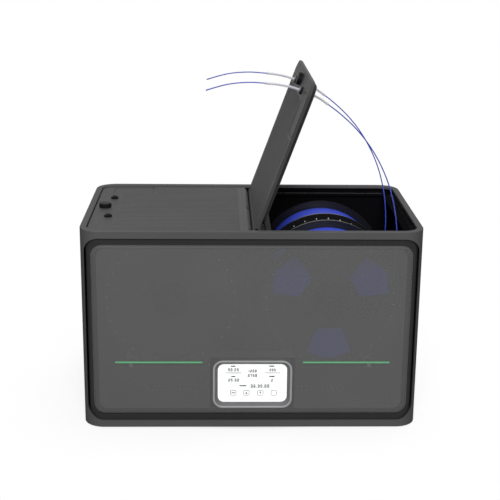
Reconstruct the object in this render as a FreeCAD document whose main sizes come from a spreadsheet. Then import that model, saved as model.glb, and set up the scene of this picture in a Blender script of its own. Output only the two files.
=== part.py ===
"""Filament dryer box with two drying bays, four spools and one lid standing open.

Frame: origin under the middle of the box, +X to the right seen from the front, +Y to the back, +Z up.
All sizes are in millimetres.
"""
import FreeCAD, Part
import math
import os
import re
import Sketcher

DIMENSIONS = {
    # case
    "case_width": 475,
    "case_depth": 290,
    "case_height": 290,
    "case_radius": 30,
    "case_wall": 3,
    "case_edge": 1.2,
    "rim_width": 9,
    "rim_thick": 4,
    "foot_height": 2,
    "foot_radius": 10,
    "foot_x": 205,
    "foot_y": 118,
    "base_thick": 3,
    "fit_gap": 0.2,
    "vent_count": 9,
    "vent_pitch": 8,
    "vent_width": 4,
    "vent_length": 66,
    "back_vent_x": 120,
    "back_vent_length": 26,
    # front
    "front_z": 145.7,
    "opening_width": 462,
    "opening_height": 268,
    "opening_radius": 22,
    "frame_depth": 13,
    "frame_rebate_z": 277,
    "window_width": 443,
    "window_height": 249,
    "window_radius": 16,
    "window_thick": 6,
    "window_sink": 0.8,
    "window_edge": 4.5,
    "sight_width": 428,
    "sight_height": 236,
    "sight_radius": 12,
    "screen_x": 2.2,
    "screen_z": 66.6,
    "bezel_width": 112,
    "bezel_height": 72,
    "bezel_radius": 14,
    "bezel_proud": 0.4,
    "bezel_slope": 5.2,
    "screen_width": 98,
    "screen_height": 58,
    "screen_radius": 9,
    "glass_width": 106,
    "glass_height": 66,
    "glass_thick": 1.2,
    "panel_width": 102,
    "panel_height": 62,
    "panel_thick": 4,
    "pod_width": 120,
    "pod_height": 76,
    "pod_depth": 26,
    "pod_hollow": 22,
    "pod_mouth_width": 107,
    "pod_mouth_height": 67,
    "board_width": 100,
    "board_height": 60,
    "board_thick": 1.6,
    "board_y": -122,
    "chip_size": 16,
    "chip_thick": 2,
    "chip_pitch": 29.4,
    "bar_near": 70.6,
    "bar_length": 122,
    "bar_height": 2.2,
    "bar_depth": 1.6,
    "bar_z": 99.8,
    # bays
    "tub_width": 452,
    "tub_wall": 2.5,
    "tub_back": 134.4,
    "floor_top": 61,
    "floor_thick": 3,
    "ledge_top": 278,
    "ledge_thick": 2.5,
    "mouth_half": 214.5,
    "mouth_front": -123.5,
    "mouth_back": 127,
    "post_radius": 4.5,
    "post_x": 200,
    "post_front": -105,
    "post_back": 112,
    "pilot_radius": 1.5,
    "pilot_depth": 14,
    "screw_radius": 1.4,
    "screw_length": 11,
    "screw_head_radius": 3,
    "screw_head": 1.6,
    "divider_half": 6,
    "divider_top": 268,
    # hinge
    "pivot_x": 7,
    "pivot_z": 282,
    "barrel_radius": 5.5,
    "barrel_half": 120,
    "barrel_split": 6,
    "pin_radius": 2,
    "running_gap": 0.05,
    "beam_half": 28,
    "beam_top": 276,
    "beam_length": 263,
    "beam_lip_near": 20,
    "beam_lip_far": 27,
    "lug_gap": 0.5,
    "open_angle": 70,
    # lids
    "lid_reach": 220.8,
    "lid_depth": 270.6,
    "lid_thick": 4.5,
    "lid_radius": 20,
    "lid_skin": 2.5,
    "lid_skirt": 4,
    "lid_edge": 1,
    "lid_notch": 8.5,
    "liner_start": 12,
    "seal_width": 4,
    "seal_thick": 4.5,
    "seal_start": 14,
    "plate_near": 140,
    "plate_length": 62,
    "plate_y": -107.5,
    "plate_width": 40,
    "plate_sink": 0.8,
    "fitting_reach": 197,
    "fitting_y": 55,
    "fitting_radius": 5.5,
    "fitting_high": 3,
    "fitting_stem": 4,
    "fitting_low": 5,
    "plug_radius": 3,
    "plug_high": 1.5,
    "knob_reach": 206,
    "knob_radius": 8.5,
    "knob_high": 6.4,
    "knob_gap": 0.3,
    "knob_stem": 3,
    "knob_foot": 4.5,
    "knob_foot_thick": 1.4,
    "knob_notch": 1.6,
    "port_radius": 1.8,
    "port_offset": 5.6,
    # spools
    "spool_x": 114,
    "spool_z": 173,
    "spool_front_y": -50,
    "spool_rear_y": 68,
    "spool_radius": 99,
    "spool_width": 82,
    "flange_thick": 3.5,
    "hub_radius": 38,
    "hub_bore": 27,
    "sight_inner": 44,
    "sight_outer": 84,
    "sight_tip": 92,
    "sight_angle": 46,
    "sight_turn": 30,
    "winding_radius": 90.3,
    "filament": 1.75,
    "winding_margin": 2,
    # rollers
    "roller_radius": 9,
    "roller_waist": 7,
    "roller_rim": 32,
    "roller_taper": 2,
    "roller_length": 105,
    "roller_gap": 0.3,
    "roller_angle": 32,
    "roller_front_y": -47,
    "roller_rear_y": 65,
    "axle_radius": 3,
    "axle_front": -108,
    "axle_back": 126,
    "bracket_half": 10,
    "bracket_thick": 6,
    "bracket_front": -103,
    "bracket_span": 224,
    "bracket_head": 8,
    # warm air and power
    "fan_y": 10,
    "fan_size": 80,
    "fan_bottom": 23,
    "fan_height": 20,
    "fan_bore": 37.5,
    "fan_strut": 6,
    "fan_strut_thick": 2,
    "impeller_radius": 35.5,
    "impeller_hub": 14,
    "impeller_bottom": 26,
    "impeller_height": 15,
    "blade_count": 7,
    "blade_lean": 7,
    "blade_thick": 2,
    "heater_thick": 14.8,
    "supply_width": 120,
    "supply_depth": 60,
    "supply_height": 32,
    "supply_y": 80,
    "supply_slot": 3,
    "supply_border": 5,
    "sensor_x": 60,
    "sensor_z": 200,
    "sensor_width": 16,
    "sensor_depth": 6.5,
    "sensor_height": 24,
    "sensor_pitch": 5,
    "inlet_x": -165,
    "inlet_z": 31.5,
    "inlet_width": 30,
    "inlet_height": 48,
    "inlet_depth": 24,
    "socket_width": 24,
    "socket_height": 16,
    "socket_depth": 16,
    "socket_drop": 11,
    "blade_pin_width": 4,
    "blade_pin_thick": 2,
    "blade_pin_pitch": 7,
    "blade_pin_drop": 2.5,
    "blade_pin_rise": 1.5,
    "blade_pin_sink": 3,
    "rocker_rise": 12,
    "rocker_well_width": 22,
    "rocker_well_height": 15.4,
    "rocker_well_depth": 13,
    "rocker_width": 20.6,
    "rocker_half": 6.6,
    "rocker_crest": 3.2,
    "rocker_cheek": 2,
    "rocker_root": 6,
    "rocker_draft": 1.5,
    "rocker_pin": 1.2,
    "rocker_pivot_sink": 4,
    "rocker_tilt": 8,
    # filament and its tubes
    "tube_radius": 2,
    "tube_bore": 1,
    "lead_gap": 0.3,
}

doc = FreeCAD.newDocument("filament_dryer_box")
sheet = doc.addObject("Spreadsheet::Sheet", "dims")
for row, (alias, number) in enumerate(DIMENSIONS.items(), start=1):
    sheet.set(f"A{row}", alias)
    sheet.set(f"B{row}", str(number))
    sheet.setAlias(f"B{row}", alias)
doc.recompute()

pieces = []
Vector = FreeCAD.Vector


def size(expression):
    """The number that an expression of the sheet's names has now."""
    result = sheet.evalExpression(str(expression))
    return float(getattr(result, "Value", result))


def bind(thing, name, expression):
    """Tie a property to an expression written in the sheet's names."""
    words = re.sub(r"[a-z_]+", lambda word: sheet_name(word.group()), str(expression))
    thing.setExpression(name, words)


def sheet_name(word):
    return "dims." + word if word in DIMENSIONS else word


def new_body(label):
    body = doc.addObject("PartDesign::Body", label)
    body.Label = label
    pieces.append(body)
    return body


def origin_part(body, role):
    return next(item for item in body.Origin.OriginFeatures if item.Role == role)


def sketch_on(body, plane, level="0"):
    """A sketch on the XY, XZ or YZ plane, moved to a height, a depth or a width of the frame."""
    sketch = body.newObject("Sketcher::SketchObject", body.Name + "_sketch")
    sketch.AttachmentSupport = [(origin_part(body, plane + "_Plane"), "")]
    sketch.MapMode = "FlatFace"
    sign = "-1 * " if plane == "XZ" else ""
    bind(sketch, "AttachmentOffset.Base.z", f"{sign}({level})")
    return sketch


def constrain(sketch, rules):
    """Add constraints, where those with an expression stay tied to the sheet."""
    first = sketch.ConstraintCount
    sketch.addConstraint([rule for rule, _ in rules])
    for index, (_, expression) in enumerate(rules, start=first):
        if expression is not None:
            bind(sketch, f"Constraints[{index}]", expression)


def pin_rules(curve, point, x, y):
    return [
        (Sketcher.Constraint("DistanceX", -1, 1, curve, point, size(x)), x),
        (Sketcher.Constraint("DistanceY", -1, 1, curve, point, size(y)), y),
    ]


def polygon(sketch, corners):
    first = sketch.GeometryCount
    count = len(corners)
    spots = [Vector(size(x), size(y), 0) for x, y in corners]
    sketch.addGeometry([Part.LineSegment(spots[i], spots[(i + 1) % count]) for i in range(count)])
    rules = []
    for i, (x, y) in enumerate(corners):
        rules.append((Sketcher.Constraint("Coincident", first + i, 2, first + (i + 1) % count, 1), None))
        rules += pin_rules(first + i, 1, x, y)
    constrain(sketch, rules)


def rectangle(sketch, wide, high, x="0", y="0"):
    left, right = f"({x}) - ({wide}) / 2", f"({x}) + ({wide}) / 2"
    low, top = f"({y}) - ({high}) / 2", f"({y}) + ({high}) / 2"
    polygon(sketch, [(left, low), (right, low), (right, top), (left, top)])


def circle(sketch, radius, x="0", y="0"):
    curve = sketch.addGeometry(Part.Circle(Vector(size(x), size(y), 0), Vector(0, 0, 1), size(radius)))
    rules = pin_rules(curve, 3, x, y)
    rules.append((Sketcher.Constraint("Radius", curve, size(radius)), radius))
    constrain(sketch, rules)


def rounded_rectangle(sketch, wide, high, radius, x="0", y="0"):
    first = sketch.GeometryCount
    quarter = math.pi / 2
    centres = []
    for along, up in ((1, 1), (-1, 1), (-1, -1), (1, -1)):
        centres.append((f"({x}) + {along} * (({wide}) / 2 - ({radius}))",
                        f"({y}) + {up} * (({high}) / 2 - ({radius}))"))
    spots = [Vector(size(cx), size(cy), 0) for cx, cy in centres]
    arcs = []
    for turn, spot in enumerate(spots):
        round_edge = Part.Circle(spot, Vector(0, 0, 1), size(radius))
        arcs.append(Part.ArcOfCircle(round_edge, turn * quarter, (turn + 1) * quarter))
    lines = [Part.LineSegment(arcs[i].EndPoint, arcs[(i + 1) % 4].StartPoint) for i in range(4)]
    sketch.addGeometry(arcs + lines)
    rules = []
    for i in range(4):
        rules.append((Sketcher.Constraint("Tangent", first + i, 2, first + 4 + i, 1), None))
        rules.append((Sketcher.Constraint("Tangent", first + 4 + i, 2, first + (i + 1) % 4, 1), None))
        rules += pin_rules(first + i, 3, *centres[i])
    rules.append((Sketcher.Constraint("Radius", first, size(radius)), radius))
    rules += [(Sketcher.Constraint("Equal", first, first + i), None) for i in (1, 2, 3)]
    constrain(sketch, rules)


def slots(sketch, wide, high, pitch, x, y):
    """A row of slots side by side in X, centred on a point."""
    for step in range(int(size("vent_count"))):
        rectangle(sketch, wide, high, f"({x}) + ({step} - (vent_count - 1) / 2) * ({pitch})", y)


def pad(body, sketch, length, reverse=False, both=False):
    feature = body.newObject("PartDesign::Pad", body.Name + "_pad")
    feature.Profile = sketch
    bind(feature, "Length", length)
    feature.Reversed = reverse
    if both:
        feature.SideType = "Symmetric"
    sketch.Visibility = False
    doc.recompute()
    return feature


def pocket(body, sketch, depth, reverse=False, both=False):
    before = body.Shape.Volume
    feature = body.newObject("PartDesign::Pocket", body.Name + "_pocket")
    feature.Profile = sketch
    bind(feature, "Length", depth)
    feature.Reversed = reverse
    if both:
        feature.SideType = "Symmetric"
    doc.recompute()
    if body.Shape.Volume >= before:
        raise RuntimeError(f"{feature.Name} cut nothing")
    return feature


def revolve(body, sketch, axis):
    feature = body.newObject("PartDesign::Revolution", body.Name + "_turned")
    feature.Profile = sketch
    feature.ReferenceAxis = (sketch, [axis])
    feature.Angle = 360
    doc.recompute()
    return feature


def row_of(body, feature, role, length, count):
    pattern = body.newObject("PartDesign::LinearPattern", body.Name + "_row")
    pattern.Originals = [feature]
    pattern.Direction = (origin_part(body, role), [""])
    bind(pattern, "Length", length)
    pattern.Occurrences = count
    body.Tip = pattern
    doc.recompute()
    return pattern


def ring_of(body, feature, role, count):
    pattern = body.newObject("PartDesign::PolarPattern", body.Name + "_ring")
    pattern.Originals = [feature]
    pattern.Axis = (origin_part(body, role), [""])
    pattern.Angle = 360
    bind(pattern, "Occurrences", count)
    body.Tip = pattern
    doc.recompute()
    return pattern


def round_edges(body, radius, wanted):
    """Fillet the edges of the body whose bounding box passes a test."""
    base = body.Tip
    names = [f"Edge{i}" for i, edge in enumerate(base.Shape.Edges, start=1) if wanted(edge.BoundBox)]
    if not names:
        raise RuntimeError(f"{body.Label} has no edge to round")
    feature = body.newObject("PartDesign::Fillet", body.Name + "_fillet")
    feature.Base = (base, names)
    bind(feature, "Radius", radius)
    doc.recompute()
    return feature


def place(body, x="0", y="0", z="0", rotation=None):
    """Set a body's Placement, whose position stays tied to the sheet."""
    if rotation is not None:
        body.Placement = FreeCAD.Placement(Vector(), rotation)
    for axis, expression in zip("xyz", (x, y, z)):
        bind(body, f"Placement.Base.{axis}", expression)


def flat_at(box, axis, level):
    """Whether a bounding box lies in the plane where one coordinate has a value."""
    low, high = getattr(box, axis + "Min"), getattr(box, axis + "Max")
    return abs(low - level) < 1e-4 and abs(high - level) < 1e-4


CASE_FRONT = "-case_depth / 2"
INNER_WIDTH = "case_width - 2 * case_wall"
INNER_DEPTH = "case_depth - 2 * case_wall"
BASE_TOP = "foot_height + base_thick"
WINDOW_FACE = "-(case_depth / 2 - window_sink)"
WINDOW_BACK = "-(case_depth / 2 - window_sink - window_thick)"
FRAME_BACK = "-(case_depth / 2 - frame_depth)"
TUB_FRONT = "-(case_depth / 2 - frame_depth - fit_gap)"
SPOOLS = [("left", "front"), ("left", "rear"), ("right", "front"), ("right", "rear")]


def side_sign(side):
    return "1" if side == "right" else "-1"


def make_outer_case():
    body = new_body("outer_case")
    outline = sketch_on(body, "XY", "foot_height")
    rounded_rectangle(outline, "case_width", "case_depth", "case_radius")
    pad(body, outline, "case_height - foot_height")
    hollow = sketch_on(body, "XY", "foot_height")
    rounded_rectangle(hollow, INNER_WIDTH, INNER_DEPTH, "case_radius - case_wall")
    pocket(body, hollow, "case_height - foot_height - rim_thick", reverse=True)
    mouth = sketch_on(body, "XY", "case_height")
    rounded_rectangle(mouth, "case_width - 2 * rim_width", "case_depth - 2 * rim_width",
                      "case_radius - rim_width")
    pocket(body, mouth, "rim_thick")
    opening = sketch_on(body, "XZ", CASE_FRONT)
    rounded_rectangle(opening, "opening_width", "opening_height", "opening_radius", "0", "front_z")
    pocket(body, opening, "case_radius")
    inlet = sketch_on(body, "XZ", "case_depth / 2")
    rectangle(inlet, "inlet_width + 2 * fit_gap", "inlet_height + 2 * fit_gap", "inlet_x", "inlet_z")
    slots(inlet, "vent_width", "back_vent_length", "vent_pitch", "back_vent_x", "inlet_z")
    pocket(body, inlet, "case_wall", reverse=True)
    top = size("case_height")
    round_edges(body, "case_edge", lambda box: flat_at(box, "Z", top))


def make_front_frame():
    body = new_body("front_frame")
    outline = sketch_on(body, "XY", f"{BASE_TOP} + fit_gap")
    rounded_rectangle(outline, f"{INNER_WIDTH} - 2 * fit_gap", f"{INNER_DEPTH} - 2 * fit_gap",
                      "case_radius - case_wall - fit_gap")
    pad(body, outline, f"case_height - rim_thick - fit_gap - ({BASE_TOP} + fit_gap)")
    rear = sketch_on(body, "XY", "case_height")
    polygon(rear, [("-case_width", FRAME_BACK), ("case_width", FRAME_BACK),
                   ("case_width", "case_depth"), ("-case_width", "case_depth")])
    pocket(body, rear, "case_height")
    rebate = sketch_on(body, "XY", "case_height")
    rebate_front = "-(case_depth / 2 - rim_width) - fit_gap"
    polygon(rebate, [("-case_width", rebate_front), ("case_width", rebate_front),
                     ("case_width", "0"), ("-case_width", "0")])
    pocket(body, rebate, "case_height - frame_rebate_z")
    seat = sketch_on(body, "XZ", CASE_FRONT)
    rounded_rectangle(seat, "window_width + 2 * fit_gap", "window_height + 2 * fit_gap",
                      "window_radius + fit_gap", "0", "front_z")
    pocket(body, seat, "window_sink + window_thick")
    sight = sketch_on(body, "XZ", CASE_FRONT)
    rounded_rectangle(sight, "sight_width", "sight_height", "sight_radius", "0", "front_z")
    pocket(body, sight, "frame_depth")


def make_front_window():
    body = new_body("front_window")
    outline = sketch_on(body, "XZ", WINDOW_BACK)
    rounded_rectangle(outline, "window_width", "window_height", "window_radius", "0", "front_z")
    pad(body, outline, "window_thick")
    face = size(WINDOW_FACE)
    round_edges(body, "window_edge", lambda box: flat_at(box, "Y", face))
    hole = sketch_on(body, "XZ", WINDOW_FACE)
    rounded_rectangle(hole, "bezel_width + 2 * fit_gap", "bezel_height + 2 * fit_gap",
                      "bezel_radius + fit_gap", "screen_x", "screen_z")
    pocket(body, hole, "window_thick")
    grooves = sketch_on(body, "XZ", WINDOW_FACE)
    for sign in ("1", "-1"):
        rectangle(grooves, "bar_length + 2 * fit_gap", "bar_height + 2 * fit_gap",
                  f"screen_x + {sign} * (bar_near + bar_length / 2)", "bar_z")
    pocket(body, grooves, "bar_depth + fit_gap")


def make_light_bars():
    body = new_body("light_bars")
    outline = sketch_on(body, "XZ", WINDOW_FACE)
    for sign in ("1", "-1"):
        rectangle(outline, "bar_length", "bar_height",
                  f"screen_x + {sign} * (bar_near + bar_length / 2)", "bar_z")
    pad(body, outline, "bar_depth", reverse=True)


def make_display():
    bezel = new_body("screen_bezel")
    outline = sketch_on(bezel, "XZ", WINDOW_BACK)
    rounded_rectangle(outline, "bezel_width", "bezel_height", "bezel_radius", "screen_x", "screen_z")
    pad(bezel, outline, "window_thick + bezel_proud")
    hole = sketch_on(bezel, "XZ", f"{WINDOW_FACE} - bezel_proud")
    rounded_rectangle(hole, "screen_width", "screen_height", "screen_radius", "screen_x", "screen_z")
    pocket(bezel, hole, "window_thick + bezel_proud")
    chamfer_inner_rim(bezel)

    glass = new_body("screen_glass")
    outline = sketch_on(glass, "XZ", WINDOW_BACK)
    rounded_rectangle(outline, "glass_width", "glass_height", "screen_radius", "screen_x", "screen_z")
    pad(glass, outline, "glass_thick", reverse=True)

    panel = new_body("screen_panel")
    outline = sketch_on(panel, "XZ", f"{WINDOW_BACK} + glass_thick")
    rectangle(outline, "panel_width", "panel_height", "screen_x", "screen_z")
    pad(panel, outline, "panel_thick", reverse=True)

    pod = new_body("display_pod")
    outline = sketch_on(pod, "XZ", WINDOW_BACK)
    rectangle(outline, "pod_width", "pod_height", "screen_x", "screen_z")
    pad(pod, outline, "pod_depth", reverse=True)
    mouth = sketch_on(pod, "XZ", WINDOW_BACK)
    rectangle(mouth, "pod_mouth_width", "pod_mouth_height", "screen_x", "screen_z")
    pocket(pod, mouth, "pod_hollow")

    board = new_body("control_board")
    outline = sketch_on(board, "XZ", "board_y")
    rectangle(outline, "board_width", "board_height", "screen_x", "screen_z")
    pad(board, outline, "board_thick", reverse=True)
    chips = sketch_on(board, "XZ", "board_y")
    for step in (-1, 0, 1):
        rectangle(chips, "chip_size", "chip_size", f"screen_x + {step} * chip_pitch", "screen_z")
    pad(board, chips, "chip_thick")


def chamfer_inner_rim(bezel):
    """Slope the bezel down to the screen all round."""
    base = bezel.Tip
    face = size(f"{WINDOW_FACE} - bezel_proud")
    width = size("screen_width / 2 + fit_gap")
    height = size("screen_height / 2 + fit_gap")
    across, middle = size("screen_x"), size("screen_z")
    names = []
    for i, edge in enumerate(base.Shape.Edges, start=1):
        box = edge.BoundBox
        beside = box.XMin < across - width or box.XMax > across + width
        if flat_at(box, "Y", face) and abs(box.ZMax - middle) < height and not beside:
            names.append(f"Edge{i}")
    feature = bezel.newObject("PartDesign::Chamfer", "screen_bezel_slope")
    feature.Base = (base, names)
    bind(feature, "Size", "bezel_slope")
    doc.recompute()


def make_inner_tub():
    body = new_body("inner_tub")
    outline = sketch_on(body, "XY", "floor_top - floor_thick")
    polygon(outline, [("-tub_width / 2", TUB_FRONT), ("tub_width / 2", TUB_FRONT),
                      ("tub_width / 2", "tub_back"), ("-tub_width / 2", "tub_back")])
    pad(body, outline, "ledge_top - floor_top + floor_thick")
    bay = sketch_on(body, "XZ", TUB_FRONT)
    polygon(bay, [("-tub_width / 2 + tub_wall", "floor_top"), ("tub_width / 2 - tub_wall", "floor_top"),
                  ("tub_width / 2 - tub_wall", "ledge_top - ledge_thick"),
                  ("-tub_width / 2 + tub_wall", "ledge_top - ledge_thick")])
    pocket(body, bay, f"tub_back - tub_wall - ({TUB_FRONT})")
    mouth = sketch_on(body, "XY", "ledge_top")
    polygon(mouth, [("-mouth_half", "mouth_front"), ("mouth_half", "mouth_front"),
                    ("mouth_half", "mouth_back"), ("-mouth_half", "mouth_back")])
    pocket(body, mouth, "ledge_thick")
    beam_gap = sketch_on(body, "XY", "ledge_top")
    polygon(beam_gap, [("-beam_half - fit_gap", TUB_FRONT), ("beam_half + fit_gap", TUB_FRONT),
                       ("beam_half + fit_gap", "tub_back - tub_wall"),
                       ("-beam_half - fit_gap", "tub_back - tub_wall")])
    pocket(body, beam_gap, "ledge_thick")
    grille = sketch_on(body, "XY", "floor_top")
    for side in ("left", "right"):
        slots(grille, "vent_width", "vent_length", "vent_pitch", f"{side_sign(side)} * spool_x", "fan_y")
    pocket(body, grille, "floor_thick")
    notch = sketch_on(body, "XY", "floor_top")
    pod_back = f"{WINDOW_BACK} + pod_depth + fit_gap"
    pod_left, pod_right = "screen_x - pod_width / 2 - fit_gap", "screen_x + pod_width / 2 + fit_gap"
    polygon(notch, [(pod_left, TUB_FRONT), (pod_right, TUB_FRONT),
                    (pod_right, pod_back), (pod_left, pod_back)])
    pocket(body, notch, "floor_thick")
    posts = sketch_on(body, "XY", "floor_top - floor_thick")
    for x, y in post_places():
        circle(posts, "post_radius", x, y)
    pad(body, posts, f"floor_top - floor_thick - ({BASE_TOP})", reverse=True)
    pilots = sketch_on(body, "XY", BASE_TOP)
    for x, y in post_places():
        circle(pilots, "pilot_radius", x, y)
    pocket(body, pilots, "pilot_depth", reverse=True)


def post_places():
    return [(f"{sign} * post_x", y) for sign in ("1", "-1") for y in ("post_front", "post_back")]


def make_base():
    cover = new_body("base_cover")
    outline = sketch_on(cover, "XY", "foot_height")
    rounded_rectangle(outline, f"{INNER_WIDTH} - 2 * fit_gap", f"{INNER_DEPTH} - 2 * fit_gap",
                      "case_radius - case_wall - fit_gap")
    pad(cover, outline, "base_thick")
    vents = sketch_on(cover, "XY", BASE_TOP)
    for side in ("left", "right"):
        slots(vents, "vent_width", "vent_length", "vent_pitch", f"{side_sign(side)} * spool_x", "fan_y")
    for x, y in post_places():
        circle(vents, "screw_radius + fit_gap", x, y)
    pocket(cover, vents, "base_thick")
    sinks = sketch_on(cover, "XY", "foot_height")
    for x, y in post_places():
        circle(sinks, "screw_head_radius + fit_gap", x, y)
    pocket(cover, sinks, "screw_head + fit_gap", reverse=True)

    screws = new_body("base_screws")
    heads = sketch_on(screws, "XY", "foot_height + fit_gap")
    for x, y in post_places():
        circle(heads, "screw_head_radius", x, y)
    pad(screws, heads, "screw_head")
    shanks = sketch_on(screws, "XY", "foot_height + fit_gap")
    for x, y in post_places():
        circle(shanks, "screw_radius", x, y)
    pad(screws, shanks, "screw_length")

    feet = new_body("rubber_feet")
    outline = sketch_on(feet, "XY", "0")
    for x in ("foot_x", "-foot_x"):
        for y in ("foot_y", "-foot_y"):
            circle(outline, "foot_radius", x, y)
    pad(feet, outline, "foot_height")


def make_centre():
    divider = new_body("centre_divider")
    outline = sketch_on(divider, "YZ", "-divider_half")
    pod_back = f"{WINDOW_BACK} + pod_depth + fit_gap"
    pod_top = "screen_z + pod_height / 2 + fit_gap"
    polygon(outline, [(pod_back, "floor_top"), ("tub_back - tub_wall - fit_gap", "floor_top"),
                      ("tub_back - tub_wall - fit_gap", "divider_top"), (TUB_FRONT, "divider_top"),
                      (TUB_FRONT, pod_top), (pod_back, pod_top)])
    pad(divider, outline, "2 * divider_half")

    beam = new_body("hinge_beam")
    bar = sketch_on(beam, "XZ", "0")
    polygon(bar, [("-beam_half", "divider_top"), ("beam_half", "divider_top"), ("beam_half", "beam_top"),
                  ("beam_lip_far", "beam_top"), ("beam_lip_far", "ledge_top"),
                  ("beam_lip_near", "ledge_top"), ("beam_lip_near", "beam_top"),
                  ("-beam_lip_near", "beam_top"), ("-beam_lip_near", "ledge_top"),
                  ("-beam_lip_far", "ledge_top"), ("-beam_lip_far", "beam_top"),
                  ("-beam_half", "beam_top")])
    pad(beam, bar, "beam_length", both=True)
    for first, last in lug_spans():
        posts = sketch_on(beam, "XZ", first)
        for side in ("left", "right"):
            rectangle(posts, "2 * barrel_radius", "pivot_z - beam_top",
                      f"{side_sign(side)} * pivot_x", "(pivot_z + beam_top) / 2")
        pad(beam, posts, f"({last}) - ({first})", reverse=True)
        heads = sketch_on(beam, "XZ", first)
        for side in ("left", "right"):
            circle(heads, "barrel_radius", f"{side_sign(side)} * pivot_x", "pivot_z")
        pad(beam, heads, f"({last}) - ({first})", reverse=True)
    bores = sketch_on(beam, "XZ", "0")
    for side in ("left", "right"):
        circle(bores, "pin_radius + running_gap", f"{side_sign(side)} * pivot_x", "pivot_z")
    pocket(beam, bores, "beam_length + 2 * lug_gap", both=True)

    pins = new_body("hinge_pins")
    outline = sketch_on(pins, "XZ", "0")
    for side in ("left", "right"):
        circle(outline, "pin_radius", f"{side_sign(side)} * pivot_x", "pivot_z")
    pad(pins, outline, "beam_length", both=True)


def lug_spans():
    """Where the lugs stand along the hinge: front, middle and back."""
    return [("-beam_length / 2", "-barrel_half - lug_gap"),
            ("-barrel_split + lug_gap", "barrel_split - lug_gap"),
            ("barrel_half + lug_gap", "beam_length / 2")]


def lid_rotation(side):
    """The right lid stands open, and the left lid is the same moulding turned half round."""
    if side == "right":
        return FreeCAD.Rotation(Vector(0, 1, 0), -size("open_angle"))
    return FreeCAD.Rotation(Vector(0, 0, 1), 180)


def place_on_lid(body, side):
    place(body, f"{side_sign(side)} * pivot_x", "0", "pivot_z", lid_rotation(side))


LID_BOTTOM = "barrel_radius - lid_thick"
LINER_TOP = "barrel_radius - lid_skin - fit_gap / 2"
LINER_END = "lid_reach - lid_skirt - fit_gap"
LINER_WIDTH = "lid_depth - 2 * lid_skirt - 2 * fit_gap"
LINER_RADIUS = "lid_radius - lid_skirt - fit_gap"


def make_lid_cover(side):
    """A lid lies along +X from its hinge, with the pivot at its own origin and its top up."""
    body = new_body(f"{side}_lid_cover")
    plate = sketch_on(body, "XY", LID_BOTTOM)
    rounded_rectangle(plate, "2 * lid_reach", "lid_depth", "lid_radius")
    pad(body, plate, "lid_thick")
    trim = sketch_on(body, "XY", "barrel_radius")
    polygon(trim, [("-2 * lid_reach", "-lid_depth"), ("0", "-lid_depth"), ("0", "lid_depth"),
                   ("-2 * lid_reach", "lid_depth")])
    pocket(body, trim, "lid_thick")
    top = size("barrel_radius")
    end = size("lid_notch + 1")
    round_edges(body, "lid_edge", lambda box: flat_at(box, "Z", top) and box.XMax > end)
    barrel = sketch_on(body, "XZ", "0")
    circle(barrel, "barrel_radius")
    pad(body, barrel, "lid_depth", both=True)
    notches = sketch_on(body, "XY", "barrel_radius")
    for low, high in (("-lid_depth", "-barrel_half"), ("-barrel_split", "barrel_split"),
                      ("barrel_half", "lid_depth")):
        polygon(notches, [("-2 * barrel_radius", low), ("lid_notch", low), ("lid_notch", high),
                          ("-2 * barrel_radius", high)])
    pocket(body, notches, "2 * barrel_radius")
    bore = sketch_on(body, "XZ", "0")
    circle(bore, "pin_radius + running_gap")
    pocket(body, bore, "lid_depth", both=True)
    recess = sketch_on(body, "XY", LID_BOTTOM)
    rounded_rectangle(recess, "lid_reach - lid_skirt - liner_start", "lid_depth - 2 * lid_skirt",
                      "lid_radius - lid_skirt", "(liner_start + lid_reach - lid_skirt) / 2")
    pocket(body, recess, "lid_thick - lid_skin", reverse=True)
    label = sketch_on(body, "XY", "barrel_radius")
    rounded_rectangle(label, "plate_length", "plate_width", "fitting_high",
                      "plate_near + plate_length / 2", "plate_y")
    pocket(body, label, "plate_sink")
    pocket(body, lid_holes(body, "barrel_radius"), "lid_thick")
    place_on_lid(body, side)


def lid_holes(body, level):
    """Holes for the two tube fittings, the vent knob's stem and the two air ports under it."""
    holes = sketch_on(body, "XY", level)
    for y in ("fitting_y", "-fitting_y"):
        circle(holes, "fitting_stem + fit_gap / 2", "fitting_reach", y)
    circle(holes, "knob_stem + knob_gap", "knob_reach", "0")
    for y in ("port_offset", "-port_offset"):
        circle(holes, "port_radius", "knob_reach", y)
    return holes


def make_lid_inside(side):
    liner = new_body(f"{side}_lid_liner")
    outline = sketch_on(liner, "XY", LID_BOTTOM)
    rounded_rectangle(outline, f"{LINER_END} - liner_start - fit_gap", LINER_WIDTH, LINER_RADIUS,
                      f"(liner_start + fit_gap + {LINER_END}) / 2")
    pad(liner, outline, f"{LINER_TOP} - ({LID_BOTTOM})")
    pocket(liner, lid_holes(liner, LINER_TOP), "lid_thick")
    place_on_lid(liner, side)

    seal = new_body(f"{side}_lid_seal")
    outline = sketch_on(seal, "XY", LID_BOTTOM)
    for inset in ("0", "seal_width"):
        rounded_rectangle(outline, f"{LINER_END} - seal_start - 2 * {inset}",
                          f"{LINER_WIDTH} - 2 * {inset}", f"{LINER_RADIUS} - {inset}",
                          f"(seal_start + {LINER_END}) / 2")
    pad(seal, outline, "seal_thick", reverse=True)
    place_on_lid(seal, side)


def make_lid_fittings(side):
    body = new_body(f"{side}_lid_fittings")
    flanges = sketch_on(body, "XY", "barrel_radius")
    for y in ("fitting_y", "-fitting_y"):
        circle(flanges, "fitting_radius", "fitting_reach", y)
    pad(body, flanges, "fitting_high")
    stems = sketch_on(body, "XY", "barrel_radius")
    for y in ("fitting_y", "-fitting_y"):
        circle(stems, "fitting_stem", "fitting_reach", y)
    pad(body, stems, "barrel_radius + fitting_low", reverse=True)
    bores = sketch_on(body, "XY", "barrel_radius + fitting_high")
    for y in ("fitting_y", "-fitting_y"):
        circle(bores, "tube_radius + running_gap", "fitting_reach", y)
    pocket(body, bores, "2 * barrel_radius + fitting_high + fitting_low")
    place_on_lid(body, side)


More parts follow.
